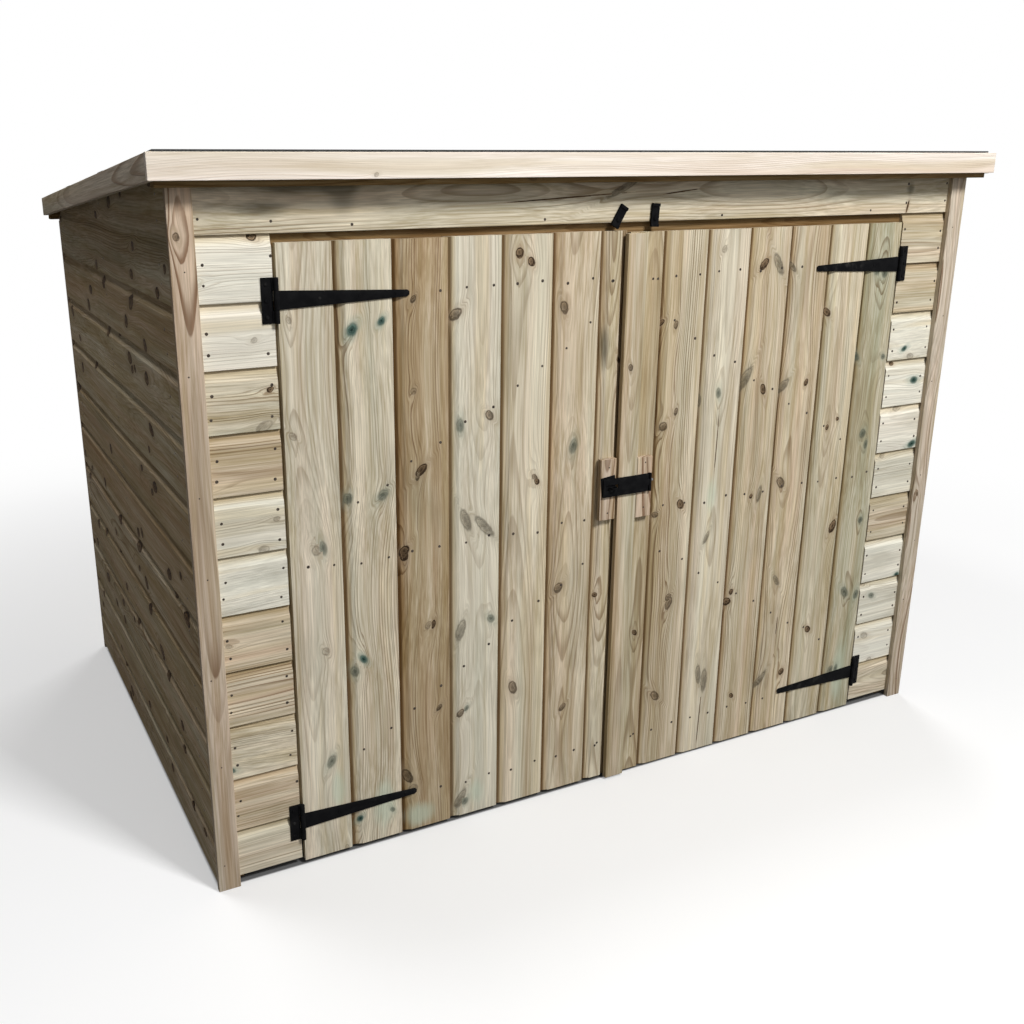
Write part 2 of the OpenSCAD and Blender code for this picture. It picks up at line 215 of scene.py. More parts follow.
def timber(name, sap, heart, late, ring=3.0, stain=0.35, sawn=0.0, figure=1.0, bold=1.0):
    """Softwood cut from a log: growth rings round a pith, knots, fibres, treatment stains and painted shade
    in the scoops.

    The mesh carries its boards' own places in the log (grain), tone, swelling, scoops and knots.
    figure is how far the streaks stand out, and bold how far the rings do.
    """
    f = Finish(name)
    grain = f.node("Attribute", attribute_name="grain").outputs["Vector"]
    tone = f.node("Attribute", attribute_name="tone").outputs["Vector"]
    swell = f.node("Attribute", attribute_name="swell").outputs["Fac"]
    scoop = f.node("Attribute", attribute_name="scoop").outputs["Fac"]
    knot_node = f.node("Attribute", attribute_name="knot")
    knot = f.split(knot_node.outputs["Vector"])
    dark = knot_node.outputs["Alpha"]
    size = f.node("Attribute", attribute_name="knot_size").outputs["Fac"]
    seed, light, green = f.split(tone)
    log = f.math("MULTIPLY", seed, 60.0)

    # Rings: the distance from the wandering pith, in ring widths, wide and narrow years in turn
    wander = f.split(f.noise(f.stretch(grain, (7, 7, 1.1)), 1.0, 2.0, log)["Color"])
    wave = f.noise(f.stretch(grain, (40, 40, 3)), 1.0, 2.0, log)["Fac"]
    across, depth, along = f.split(grain)
    # The fibres part round a knot and close again past it
    part = f.math("MULTIPLY", f.math("TANH", f.math("MULTIPLY", knot[0], 2.2)), size)
    near = f.math("ADD", f.math("POWER", f.math("MULTIPLY", knot[0], 0.5), 2.0),
                  f.math("POWER", f.math("MULTIPLY", f.math("ABSOLUTE", knot[1]), 0.42), 2.0))
    part = f.math("MULTIPLY", part, f.math("EXPONENT", f.math("MULTIPLY", near, -1.0)))
    across = f.math("SUBTRACT", across, part)
    streaks_at = f.vector(across, depth, along)
    across = f.math("MULTIPLY_ADD", f.math("SUBTRACT", wander[0], 0.5), 0.016, across)
    depth = f.math("MULTIPLY_ADD", f.math("SUBTRACT", wander[1], 0.5), 0.022, depth)
    across_squared = f.math("MULTIPLY", across, across)
    radius = f.math("SQRT", f.math("ADD", across_squared, f.math("MULTIPLY", depth, depth)))
    years = f.noise(f.vector(f.math("MULTIPLY", radius, 90.0), log, 0.0), 1.0, 1.0)["Fac"]
    rings = f.math("DIVIDE", radius, ring * MM)
    rings = f.math("MULTIPLY_ADD", years, 1.6, rings)
    rings = f.math("MULTIPLY_ADD", wave, 0.3, rings)
    rings = f.math("ADD", rings, swell)
    year = f.math("FRACT", rings)
    late_band = f.math("MULTIPLY", f.step(year, 0.42, 0.9), f.step(year, 1.0, 0.94))
    ring_place = f.vector(f.math("MULTIPLY", rings, 0.31), log, f.math("MULTIPLY", along, 1.2))
    strength = f.noise(ring_place, 1.0, 2.0)
    late_band = f.math("MULTIPLY", late_band, f.step(strength["Fac"], 0.4, 0.66, 0.12, 1.0))

    # Fibres, narrow and wide streaks along the grain, and blotches of treatment
    fibre = f.noise(f.stretch(streaks_at, (430, 430, 8)), 1.0, 4.0, log)["Fac"]
    streak = f.noise(f.stretch(streaks_at, (190, 190, 3)), 1.0, 3.0, log)["Fac"]
    band = f.split(f.noise(f.stretch(grain, (38, 38, 0.9)), 1.0, 1.5, log)["Color"])
    blotch = f.noise(f.stretch(grain, (16, 16, 4.5)), 1.0, 4.0, log)["Fac"]

    # Heart near the pith, sapwood outside it, and the treatment's green, straw and pink casts
    heart_share = f.step(f.math("MULTIPLY_ADD", streak, 0.02, radius), 0.05, 0.03)
    colour = f.mix(heart_share, (*sap, 1), (*heart, 1))
    cast = f.math("MULTIPLY_ADD", f.math("SUBTRACT", band[0], 0.5), 3.4, green)
    colour = f.mix(f.math("MULTIPLY", cast, 0.42, clamp=True), colour, (0.44, 0.455, 0.34, 1))
    colour = f.mix(f.math("MULTIPLY", cast, -0.48, clamp=True), colour, (0.58, 0.41, 0.275, 1))
    bleached = f.step(light, 0.1, 1.0, 0.0, 0.75)
    colour = f.mix(bleached, colour, (0.71, 0.695, 0.615, 1))
    colour = f.mix(f.step(band[2], 0.52, 0.68, 0.0, 0.4), colour, (0.56, 0.455, 0.265, 1))
    colour = f.mix(f.math("MULTIPLY", f.step(blotch, 0.5, 0.72), stain), colour, (0.34, 0.315, 0.23, 1))
    tone_tint = f.math("MULTIPLY_ADD", light, 0.26, 1.0)
    tint = f.step(band[1], 0.3, 0.7, 1 - 0.17 * figure, 1 + 0.15 * figure)
    tint = f.math("MULTIPLY", tint, f.step(streak, 0.28, 0.72, 1 - 0.14 * figure, 1 + 0.1 * figure))
    tint = f.math("MULTIPLY", tint, f.step(fibre, 0.3, 0.7, 1 - 0.2 * figure, 1 + 0.12 * figure))
    calm = f.math("MULTIPLY_ADD", bleached, -0.55, 1.0)
    tint = f.math("MULTIPLY_ADD", f.math("SUBTRACT", tint, 1.0), calm, 1.0)
    tint = f.math("MULTIPLY", tint, tone_tint)
    low = f.math("MINIMUM", tint, 1.0)
    warmth = f.vector(
        tint,
        f.math("MULTIPLY", tint, f.math("POWER", low, 0.2)),
        f.math("MULTIPLY", tint, f.math("POWER", low, 0.65)))
    colour = f.mix(1.0, colour, warmth, "MULTIPLY")
    figured = f.step(f.math("FRACT", f.math("MULTIPLY", seed, 7.0)), 0.0, 1.0, 0.5 * bold, bold)
    late_share = f.math("MULTIPLY", late_band, f.step(fibre, 0.2, 0.6, 0.65, 1.0))
    late_share = f.math("MULTIPLY", late_share, figured, clamp=True)
    late_share = f.math("MULTIPLY", late_share, f.math("MULTIPLY_ADD", bleached, -0.75, 1.0))
    colour = f.mix(late_share, colour, f.mix(1.0, colour, (*late, 1), "MULTIPLY"))

    # Painted shade in the scoop, darkest against the next board's lip, which shades it
    painted_scoop_shade = f.step(scoop, 0.2, 0.95, 0.0, 0.85)
    colour = f.mix(painted_scoop_shade, colour, f.mix(1.0, colour, (0.78, 0.68, 0.52, 1), "MULTIPLY"))
    colour = f.mix(f.step(scoop, 0.72, 0.92), colour, f.mix(1.0, colour, (0.3, 0.24, 0.19, 1), "MULTIPLY"))

    # Pale green treatment, and mould over everything
    marks = f.split(f.node("Attribute", attribute_name="marks").outputs["Vector"])
    streaked = f.math("MULTIPLY", f.math("SUBTRACT", streak, 0.5), 0.5)
    cloud = f.math("MULTIPLY_ADD", f.math("SUBTRACT", blotch, 0.5), 0.9, streaked)
    colour = f.mix(f.step(f.math("ADD", marks[1], cloud), 0.3, 0.95, 0.0, 0.6), colour, (0.55, 0.63, 0.5, 1))

    # Knots: a halo, a ragged dark rim that is thicker on one side, rings and a cracked heart
    ragged = f.noise(f.stretch(grain, (150, 150, 100)), 1.0, 3.0, log)["Fac"]
    specks = f.noise(f.stretch(grain, (420, 420, 300)), 1.0, 2.0, log)["Fac"]
    wide_squared = f.math("MULTIPLY", knot[0], knot[0])
    reach = f.math("SQRT", f.math("ADD", wide_squared, f.math("MULTIPLY", knot[1], knot[1])))
    reach = f.math("MULTIPLY_ADD", f.math("SUBTRACT", ragged, 0.5), 0.5, reach)
    green_share = f.math("MAXIMUM", knot[2], 0.0, clamp=True)
    red_share = f.math("MULTIPLY", knot[2], -1.0, clamp=True)
    long_reach = f.math("MULTIPLY_ADD", f.math("ABSOLUTE", knot[1]), -0.38, reach)
    halo = f.math("MULTIPLY", f.step(long_reach, 1.9, 0.3), f.math("MULTIPLY", dark, 0.6))
    halo = f.math("MULTIPLY", halo, f.step(streak, 0.2, 0.6, 0.5, 1.0))
    halo_colour = f.mix(green_share, (0.36, 0.26, 0.165, 1), (0.2, 0.285, 0.235, 1))
    halo_colour = f.mix(1.0, halo_colour, f.vector(tone_tint, tone_tint, tone_tint), "MULTIPLY")
    colour = f.mix(halo, colour, halo_colour)
    body = f.mix(green_share, (0.29, 0.185, 0.1, 1), (0.12, 0.19, 0.155, 1))
    body = f.mix(red_share, body, (0.3, 0.12, 0.065, 1))
    deep = f.math("MINIMUM", f.math("POWER", tone_tint, 2.5), 1.0)
    body = f.mix(1.0, body, f.vector(deep, deep, deep), "MULTIPLY")
    pitch = f.mix(green_share, (0.022, 0.013, 0.008, 1), (0.012, 0.026, 0.022, 1))
    knot_rings = f.math("FRACT", f.math("MULTIPLY_ADD", reach, 2.6, f.math("MULTIPLY", ragged, 1.2)))
    body = f.mix(f.step(knot_rings, 0.45, 0.85, 0.0, 0.45), body, pitch)
    side = f.math("MULTIPLY_ADD", knot[0], 0.3, f.math("MULTIPLY_ADD", knot[1], -0.25, specks))
    thick_rim = f.step(side, 0.35, 0.85, 0.62, 0.1)
    rim = f.step(f.math("SUBTRACT", reach, thick_rim), 0.0, 0.16)
    rim = f.math("MULTIPLY", rim, f.step(ragged, 0.3, 0.5, 0.55, 1.0))
    cracked = f.math("MULTIPLY", f.step(f.math("ADD", reach, specks), 0.95, 0.5), dark)
    core = f.step(f.math("MULTIPLY_ADD", specks, 0.7, reach), 1.15, 0.45)
    core = f.math("MULTIPLY", core, f.math("MULTIPLY_ADD", green_share, 0.15, 0.7))
    rim = f.math("MULTIPLY", rim, f.math("MULTIPLY_ADD", green_share, -0.6, 1.0))
    dark_parts = f.math("MAXIMUM", f.math("MAXIMUM", rim, cracked), core)
    outer_reach = f.math("MULTIPLY_ADD", green_share, 0.3, 1.0)
    inside = f.step(reach, outer_reach, f.math("MULTIPLY_ADD", green_share, -0.28, 0.82))
    colour = f.mix(f.math("MULTIPLY", inside, f.math("MULTIPLY", dark, dark)), colour, body)
    colour = f.mix(f.math("MULTIPLY", inside, f.math("MULTIPLY", dark_parts, dark)), colour, pitch)
    mould = f.mix(1.0, colour, (0.24, 0.25, 0.24, 1), "MULTIPLY")
    colour = f.mix(f.step(f.math("ADD", marks[0], cloud), 0.25, 1.0, 0.0, 0.75), colour, mould)
    f.put(f.shader.inputs["Base Color"], colour)

    rough = f.step(late_band, 0.0, 1.0, 0.86, 0.74)
    f.put(f.shader.inputs["Roughness"], f.math("MULTIPLY_ADD", inside, -0.04, rough))
    f.shader.inputs["Specular IOR Level"].default_value = 0.03
    height = f.math("MULTIPLY_ADD", late_band, 0.55, f.math("MULTIPLY", fibre, 0.55))
    height = f.math("MULTIPLY_ADD", inside, f.math("MULTIPLY", dark, 0.6), height)
    if sawn:
        teeth = f.noise(f.stretch(grain, (60, 60, 900)), 1.0, 2.0, log)["Fac"]
        height = f.math("MULTIPLY_ADD", teeth, sawn, height)
    f.bump(height, 0.6 * MM)
    return f.material


def black_paint():
    """Black stoved paint on steel: a faint orange peel, and thinner paint along the edges."""
    f = Finish("black_paint")
    place = f.node("TexCoord").outputs["Object"]
    peel = f.noise(place, 900.0, 2.0)["Fac"]
    wide = f.noise(place, 60.0, 3.0)["Fac"]
    edge = f.step(f.node("NewGeometry").outputs["Pointiness"], 0.53, 0.6)
    worn = f.math("MULTIPLY", edge, f.step(wide, 0.5, 0.7, 0.0, 0.5))
    colour = f.mix(f.step(wide, 0.3, 0.7), (0.004, 0.004, 0.0045, 1), (0.008, 0.008, 0.0085, 1))
    f.put(f.shader.inputs["Base Color"], f.mix(worn, colour, (0.04, 0.038, 0.036, 1)))
    f.put(f.shader.inputs["Roughness"], f.step(wide, 0.3, 0.7, 0.6, 0.7))
    f.shader.inputs["Specular IOR Level"].default_value = 0.03
    f.bump(f.math("MULTIPLY_ADD", wide, 0.6, peel), 0.12 * MM)
    return f.material


def nail_steel():
    """Dull steel nail heads, browned by the weather."""
    f = Finish("nail_steel")
    place = f.node("TexCoord").outputs["Object"]
    rust = f.noise(place, 35.0, 2.0)["Fac"]
    speck = f.noise(place, 1200.0, 2.0)["Fac"]
    colour = f.mix(f.step(rust, 0.35, 0.65), (0.022, 0.017, 0.013, 1), (0.06, 0.048, 0.036, 1))
    f.put(f.shader.inputs["Base Color"], f.mix(f.step(speck, 0.4, 0.7), colour, (0.05, 0.03, 0.018, 1)))
    f.shader.inputs["Metallic"].default_value = 0.4
    f.put(f.shader.inputs["Roughness"], f.step(speck, 0.3, 0.7, 0.5, 0.75))
    f.bump(speck, 0.1 * MM)
    return f.material


def zinc():
    """Bright zinc of the felt nails and of the odd plated screw."""
    f = Finish("zinc")
    place = f.node("TexCoord").outputs["Object"]
    spangle = f.noise(place, 420.0, 3.0)["Fac"]
    f.put(f.shader.inputs["Base Color"], f.mix(spangle, (0.12, 0.124, 0.128, 1), (0.26, 0.26, 0.255, 1)))
    f.shader.inputs["Metallic"].default_value = 0.9
    f.put(f.shader.inputs["Roughness"], f.step(spangle, 0.3, 0.7, 0.5, 0.68))
    f.bump(spangle, 0.08 * MM)
    return f.material


def mineral_felt():
    """Charcoal mineral felt: slate granules in bitumen, with faint rolling marks."""
    f = Finish("mineral_felt")
    place = f.node("TexCoord").outputs["Object"]
    granules = f.node("TexVoronoi", feature="F1")
    f.put(granules.inputs["Vector"], place)
    granules.inputs["Scale"].default_value = 620.0
    shade = f.split(granules.outputs["Color"])[0]
    wide = f.noise(f.stretch(place, (1.0, 4.0, 1.0)), 3.0, 4.0)["Fac"]
    colour = f.mix(shade, (0.006, 0.0065, 0.0065, 1), (0.045, 0.048, 0.047, 1))
    colour = f.mix(f.step(wide, 0.35, 0.7, 0.0, 0.35), colour, (0.032, 0.035, 0.032, 1))
    f.put(f.shader.inputs["Base Color"], colour)
    f.put(f.shader.inputs["Roughness"], f.step(wide, 0.3, 0.7, 0.86, 0.97))
    crust = f.math("SUBTRACT", 1.0, granules.outputs["Distance"])
    f.bump(f.math("MULTIPLY_ADD", wide, 1.5, crust), 0.5 * MM)
    return f.material


# ---- Shapes ----

def rng_for(name):
    return random.Random("shed " + name)


def new_object(name, bm, material):
    mesh = bpy.data.meshes.new(name)
    bm.to_mesh(mesh)
    bm.free()
    mesh.materials.append(material)
    piece = bpy.data.objects.new(name, mesh)
    bpy.context.scene.collection.objects.link(piece)
    return piece


def smooth_with_arrises(piece, degrees=20):
    for face in piece.data.polygons:
        face.use_smooth = True
    piece.data.set_sharp_from_angle(angle=math.radians(degrees))


def joined(name, parts):
    """One piece made of several boards, which keep their own attributes."""
    if len(parts) > 1:
        with bpy.context.temp_override(active_object=parts[0], selected_editable_objects=parts):
            bpy.ops.object.join()
    parts[0].name = name
    parts[0].data.name = name
    return parts[0]


def hand_in(piece, body, slot, *nodes):
    """Rides on its body and stands for its CAD nodes; the slot is not used."""
    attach(piece, body)
    if nodes:
        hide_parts(*nodes)
    return piece


def shiplap_section(wide, thick, scooped=True, lapped=True):
    """Section of a shiplap board as (across, depth) in metres: lip, face, scoop, tongue and back."""
    top = COVER * MM
    round_off = 1.0 * MM
    if not scooped:
        points = [(wide, 0.0), (wide, thick)]
        flat_end = wide
    else:
        radius = (SCOOP ** 2 + TONGUE_T ** 2) / (2 * TONGUE_T) * MM
        flat_end = top - SCOOP * MM
        points = []
        for i in range(6):
            a = flat_end + SCOOP * MM * i / 5
            points.append((a, TONGUE_T * MM - radius + math.sqrt(radius ** 2 - (top - a) ** 2)))
        points += [(top + LAP * MM, TONGUE_T * MM), (top + LAP * MM, thick)]
    rebate = (LAP + 2) * MM if lapped else 0.0
    if rebate:
        points += [(rebate, thick), (rebate, (TONGUE_T - 0.5) * MM), (0.0, (TONGUE_T - 0.5) * MM)]
    else:
        points += [(0.0, thick)]
    points += [(0.0, round_off), (round_off, 0.0)]
    count = 16
    points += [(round_off + (flat_end - round_off) * i / count, 0.0) for i in range(1, count)]
    return points


def plain_section(wide, thick, easing=1.2 * MM, parts=6):
    """Section of a planed board with eased edges, as (across, depth)."""
    face = [easing + (wide - 2 * easing) * i / parts for i in range(parts + 1)]
    section = [(a, 0.0) for a in face] + [(wide, easing), (wide, thick - easing)]
    return section + [(a, thick) for a in reversed(face)] + [(0.0, thick - easing), (0.0, easing)]


def board(section, length, origin, across, depth, along, pitch=9 * MM):
    """Extrudes a section along its length, cuts it into even slices and puts it in place."""
    bm = bmesh.new()
    face = bm.faces.new([bm.verts.new((a, d, 0.0)) for a, d in section])
    moved = bmesh.ops.extrude_face_region(bm, geom=[face])["geom"]
    ends = [v for v in moved if isinstance(v, bmesh.types.BMVert)]
    bmesh.ops.translate(bm, verts=ends, vec=(0, 0, length))
    long_edges = [e for e in bm.edges if abs(e.verts[0].co.z - e.verts[1].co.z) > length / 2]
    cuts = max(1, round(length / pitch) - 1)
    bmesh.ops.subdivide_edges(bm, edges=long_edges, cuts=cuts, use_grid_fill=True)
    turn = Matrix((across, depth, along)).transposed().to_4x4()
    bmesh.ops.transform(bm, verts=bm.verts, matrix=Matrix.Translation(origin) @ turn)
    bmesh.ops.recalc_face_normals(bm, faces=bm.faces)
    return bm


def axis_of(direction):
    return max(range(3), key=lambda i: abs(direction[i]))


def cut_below(bm, point, normal):
    """Keeps what is on the low side of a plane, and closes the cut."""
    geometry = bm.verts[:] + bm.edges[:] + bm.faces[:]
    bmesh.ops.bisect_plane(bm, geom=geometry, plane_co=point, plane_no=normal, clear_outer=True)
    rims = [e for e in bm.edges if e.is_boundary]
    if rims:
        bmesh.ops.holes_fill(bm, edges=rims)


def mark_grain(piece, axes, tone, knots, rng, face=None, scoop_shade=1.0, lean=0.0):
    """Writes a board's place in its log, its tone, the swelling and the knots onto its mesh.

    axes are the indices of the directions across, through and along the board, and lean is how far
    a brace is turned from them.
    """
    mesh = piece.data
    count = len(mesh.vertices)
    places = np.empty(count * 3, np.float32)
    mesh.vertices.foreach_get("co", places)
    places = places.reshape(-1, 3)
    across, depth, along = (places[:, i] for i in axes)
    across, along = (
        across * math.cos(lean) - along * math.sin(lean), across * math.sin(lean) + along * math.cos(lean))
    wide = max(float(np.ptp(across)), 0.02)
    middle = (float(across.min()) + float(across.max())) / 2
    flat_sawn = rng.random() < 0.65
    off_middle = rng.uniform(-0.22, 0.22) if flat_sawn else rng.choice((-1, 1)) * rng.uniform(0.8, 1.5)
    pith = middle + wide * off_middle
    below = rng.uniform(0.022, 0.05) if flat_sawn else rng.uniform(0.03, 0.07)
    bow = rng.uniform(0.003, 0.009) * np.sin(along / rng.uniform(0.09, 0.16) + rng.uniform(0, 6.3))
    taper = rng.choice((-1, 1)) * rng.uniform(0.006, 0.02)
    start = along - float(along.min())
    grain = np.stack([
        across - pith + 0.5 * bow,
        depth - float(depth.min()) + below + bow + taper * start,
        along + rng.uniform(0, 20),
    ], 1)
    grain_data = mesh.attributes.new("grain", "FLOAT_VECTOR", "POINT").data
    grain_data.foreach_set("vector", grain.astype(np.float32).ravel())
    light, green = TONES[tone]
    light += rng.uniform(-0.12, 0.12)
    green += rng.uniform(-0.12, 0.12)
    tones = np.tile(np.array([rng.random(), light, green], np.float32), count)
    mesh.attributes.new("tone", "FLOAT_VECTOR", "POINT").data.foreach_set("vector", tones)
    mark_knots(mesh, places, axes, knots)
    if face is not None:
        # Depth below the face marks the scoop for its painted shade
        below = np.abs(places[:, axes[1]] - face) / (TONGUE_T * MM)
        scoop = np.where(below > 1.1, 0.0, below * scoop_shade).astype(np.float32)
        mesh.attributes.new("scoop", "FLOAT", "POINT").data.foreach_set("value", scoop)


def mark_knots(mesh, places, axes, knots):
    """The nearest knot's own coordinates at each corner, and the grain's swelling round all of them.

    Knots are given in the two directions of the board's face, in millimetres.
    """
    first, second = sorted((axes[0], axes[2]))
    u, v = places[:, first] / MM, places[:, second] / MM
    swell = np.zeros(len(u))
    polygons = len(mesh.polygons)
    centres = np.empty(polygons * 3, np.float32)
    mesh.polygons.foreach_get("center", centres)
    centres = centres.reshape(-1, 3) / MM
    sides = np.empty(polygons, np.int32)
    mesh.polygons.foreach_get("loop_total", sides)
    corners = np.empty(len(mesh.loops), np.int32)
    mesh.loops.foreach_get("vertex_index", corners)
    owner = np.repeat(np.arange(polygons), sides)
    values = np.tile(np.array([9.0, 9.0, 0.0, 0.0], np.float32), (len(corners), 1))
    half_widths = np.zeros(len(corners), np.float32)
    marks = np.zeros((len(u), 3), np.float32)
    nearest = np.full(polygons, 1e9)
    for ku, kv, wide, tall, lean, kind in knots:
        if kind in SOFT_MARKS:
            marks[:, SOFT_MARKS.index(kind)] += np.exp(-((u - ku) / wide) ** 2 - ((v - kv) / tall) ** 2)
            continue
        green, dark, lift = KNOT_KINDS[kind]
        c, s = math.cos(math.radians(lean)), math.sin(math.radians(lean))

        def own(a, b):
            level = ((a - ku) * c - (b - kv) * s) / wide
            upright = ((a - ku) * s + (b - kv) * c) / tall
            return (upright, level) if axes[2] == first else (level, upright)

        stretch = (5.5, 1.7) if axes[2] == first else (1.7, 5.5)
        reach = math.sqrt(wide * tall)
        swell -= lift * np.exp(
            -np.abs((u - ku) / reach / stretch[0]) ** 1.25 - np.abs((v - kv) / reach / stretch[1]) ** 1.25)
        ks, kt = own(centres[:, first], centres[:, second])
        distance = np.hypot(ks, kt)
        closer = distance < nearest
        nearest = np.where(closer, distance, nearest)
        chosen = closer[owner]
        ks, kt = own(u[corners[chosen]], v[corners[chosen]])
        values[chosen, 0] = ks
        values[chosen, 1] = kt
        values[chosen, 2] = green
        values[chosen, 3] = dark
        half_widths[chosen] = (tall if axes[2] == first else wide) * MM * (1.0 if lift else 0.0)
    mesh.attributes.new("marks", "FLOAT_VECTOR", "POINT").data.foreach_set("vector", marks.ravel())
    mesh.attributes.new("swell", "FLOAT", "POINT").data.foreach_set("value", swell.astype(np.float32))
    mesh.attributes.new("knot", "FLOAT_COLOR", "CORNER").data.foreach_set("color", values.ravel())
    mesh.attributes.new("knot_size", "FLOAT", "CORNER").data.foreach_set("value", half_widths)


def chance_knots(rng, low, high, axes, how_many, wide, kinds=MIXED):
    """A few knots strewn over a board, in millimetres on its face."""
    first, second = sorted((axes[0], axes[2]))
    knots = []
    for _ in range(how_many):
        place = {i: rng.uniform(low[i], high[i]) / MM for i in (first, second)}
        size = rng.uniform(0.045, 0.09) * wide / MM
        long_side = size * rng.uniform(1.1, 1.9)
        kind = rng.choice(kinds)
        sizes = (long_side, size) if axes[2] == first else (size, long_side)
        knots.append((place[first], place[second], *sizes, rng.uniform(-25, 25), kind))
    return knots


def rows_of_knots(rng, left, right, top, kinds, lowest, rise, most):
    """An upright board's knots, row by row from its foot to its top, in millimetres."""
    knots = []
    for row in range(math.ceil((top - lowest) / rise)):
        for _ in range(rng.randint(1, most)):
            kind = rng.choice(kinds)
            half_wide = rng.uniform(5, 11)
            slender = rng.uniform(2.2, 3.6) if kind == "spike" else rng.uniform(1.0, 1.9)
            across = rng.uniform(left + half_wide, right - half_wide)
            height = lowest + row * rise + rng.uniform(-18, 18)
            knots.append((across, height, half_wide, half_wide * slender, rng.uniform(-45, 45), kind))
    return knots


def bounds_of(bm):
    low = Vector(min(v.co[i] for v in bm.verts) for i in range(3))
    high = Vector(max(v.co[i] for v in bm.verts) for i in range(3))
    return low, high


def solids_of(node):
    """The separate solids of a CAD node, merged and with flat faces made whole."""
    whole = bmesh.new()
    whole.from_mesh(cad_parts[node].data)
    bmesh.ops.remove_doubles(whole, verts=whole.verts, dist=0.01 * MM)
    bmesh.ops.dissolve_limit(whole, angle_limit=math.radians(1), verts=whole.verts, edges=whole.edges)
    whole.verts.index_update()
    left = set(whole.verts)
    solids = []
    while left:
        group, edge = set(), {min(left, key=lambda v: v.index)}
        while edge:
            group |= edge
            edge = {e.other_vert(v) for v in edge for e in v.link_edges} - group
        left -= group
        keep = {v.index for v in group}
        single = whole.copy()
        single.verts.ensure_lookup_table()
        away = [v for i, v in enumerate(single.verts) if i not in keep]
        bmesh.ops.delete(single, geom=away, context="VERTS")
        solids.append(single)
    whole.free()
    return sorted(solids, key=lambda b: tuple(round(c, 4) for c in bounds_of(b)[0]))


def slice_up(bm, axis, pitch):
    """Even cuts across an axis, so that the knots' swelling has points to sit on."""
    low, high = bounds_of(bm)
    normal = Vector(i == axis for i in range(3))
    count = int((high[axis] - low[axis]) / pitch)
    for i in range(1, count):
        point = normal * (low[axis] + (high[axis] - low[axis]) * i / count)
        whole = bm.verts[:] + bm.edges[:] + bm.faces[:]
        bmesh.ops.bisect_plane(bm, geom=whole, plane_co=point, plane_no=normal)


def eased(bm, width, segments=2, sharper_than=20):
    sharp = [e for e in bm.edges if e.is_manifold and e.calc_face_angle(0) > math.radians(sharper_than)]
    bmesh.ops.bevel(
        bm, geom=sharp, offset=width, offset_type="OFFSET", affect="EDGES", segments=segments,
        profile=0.5, material=-1, clamp_overlap=True,
    )


def planed(node, body, slot, material, tone="straw", knots=(), pitch=25, chance=1.2, easing=1.0):
    """The timbers of a CAD node with eased edges, each with its own grain and knots."""
    rng = rng_for(node)
    parts = []
    for number, bm in enumerate(solids_of(node)):
        low, high = bounds_of(bm)
        size = high - low
        order = sorted(range(3), key=lambda i: size[i])
        axes = (order[1], order[0], order[2])
        longest = max(bm.edges, key=lambda e: e.calc_length())
        run = longest.verts[1].co - longest.verts[0].co
        lean = math.atan(run[axes[0]] / run[axes[2]])
        eased(bm, easing * MM)
        if pitch:
            slice_up(bm, axes[2], pitch * MM)
            slice_up(bm, axes[0], min(pitch, 10) * MM)
        part = new_object(node, bm, material)
        spots = list(knots)
        if not knots:
            how_many = int(size[axes[2]] * chance + rng.random())
            spots = chance_knots(rng, low, high, axes, how_many, min(size[axes[0]] * 2, 120 * MM))
        own_tone = tone if isinstance(tone, str) else tone[number % len(tone)]
        mark_grain(part, axes, own_tone, spots, rng, lean=lean)
        smooth_with_arrises(part)
        parts.append(part)
    return hand_in(joined(node + "_timber", parts), body, slot, node)


# ---- Walls ----

def level_boards(node, outward, tones, knots=(), roof_cut=False, chance=3, knotty=1.0,
                 kinds=MIXED, scoop_shade=0.8, pitch=9):
    """A wall of level shiplap boards in its node's box, facing outward, laid from the bottom up."""
    low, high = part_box(node)
    rng = rng_for(node)
    depth = -outward
    along_axis = X if abs(outward.y) > 0.5 else Y
    along = RIGHT if along_axis == X else BACK
    axes = (Z, axis_of(depth), along_axis)
    thick = high[axes[1]] - low[axes[1]]
    face = low[axes[1]] if depth[axes[1]] > 0 else high[axes[1]]
    length = high[along_axis] - low[along_axis]
    joints = [HEAD_Z * MM + COVER * MM * i for i in range(-10, 3)]
    starts = [low.z] + [z for z in joints if low.z + 0.02 < z < high.z - 0.004]
    parts = []
    for number, z in enumerate(starts):
        first_board = number == 0 and z + 0.02 < HEAD_Z * MM
        above = min(j for j in joints if j > z + 0.004)
        section = shiplap_section(COVER * MM, thick, lapped=not first_board)
        shift = above - COVER * MM
        origin = Vector((0, 0, shift))
        origin[axes[1]] = face
        origin[along_axis] = low[along_axis]
        bm = board(section, length, origin, UP, depth, along, pitch * MM)
        if first_board:
            cut_below(bm, Vector((0, 0, z)), -UP)
        if above + LAP * MM > high.z and not roof_cut:
            cut_below(bm, Vector((0, 0, high.z)), UP)
        if roof_cut:
            cut_below(bm, Vector((0, low.y, high.z)), Vector((0, ROOF_FALL, 1)).normalized())
        if not bm.verts:
            bm.free()
            continue
        board_low, board_high = bounds_of(bm)
        part = new_object(node, bm, cladding)
        tone = tones[min(number, len(tones) - 1)] if isinstance(tones, tuple) else rng.choice(tones)
        how_many = rng.randint(chance - 1, chance + 1)
        largest = COVER * knotty * MM
        spots = list(knots) or chance_knots(rng, board_low, board_high, axes, how_many, largest, kinds)
        # The scoops get painted shade, as strong as the last argument says
        mark_grain(part, axes, tone, spots, rng, face, scoop_shade)
        smooth_with_arrises(part)
        parts.append(part)
    return hand_in(joined(node + "_boards", parts), "shed", "cladding", node)


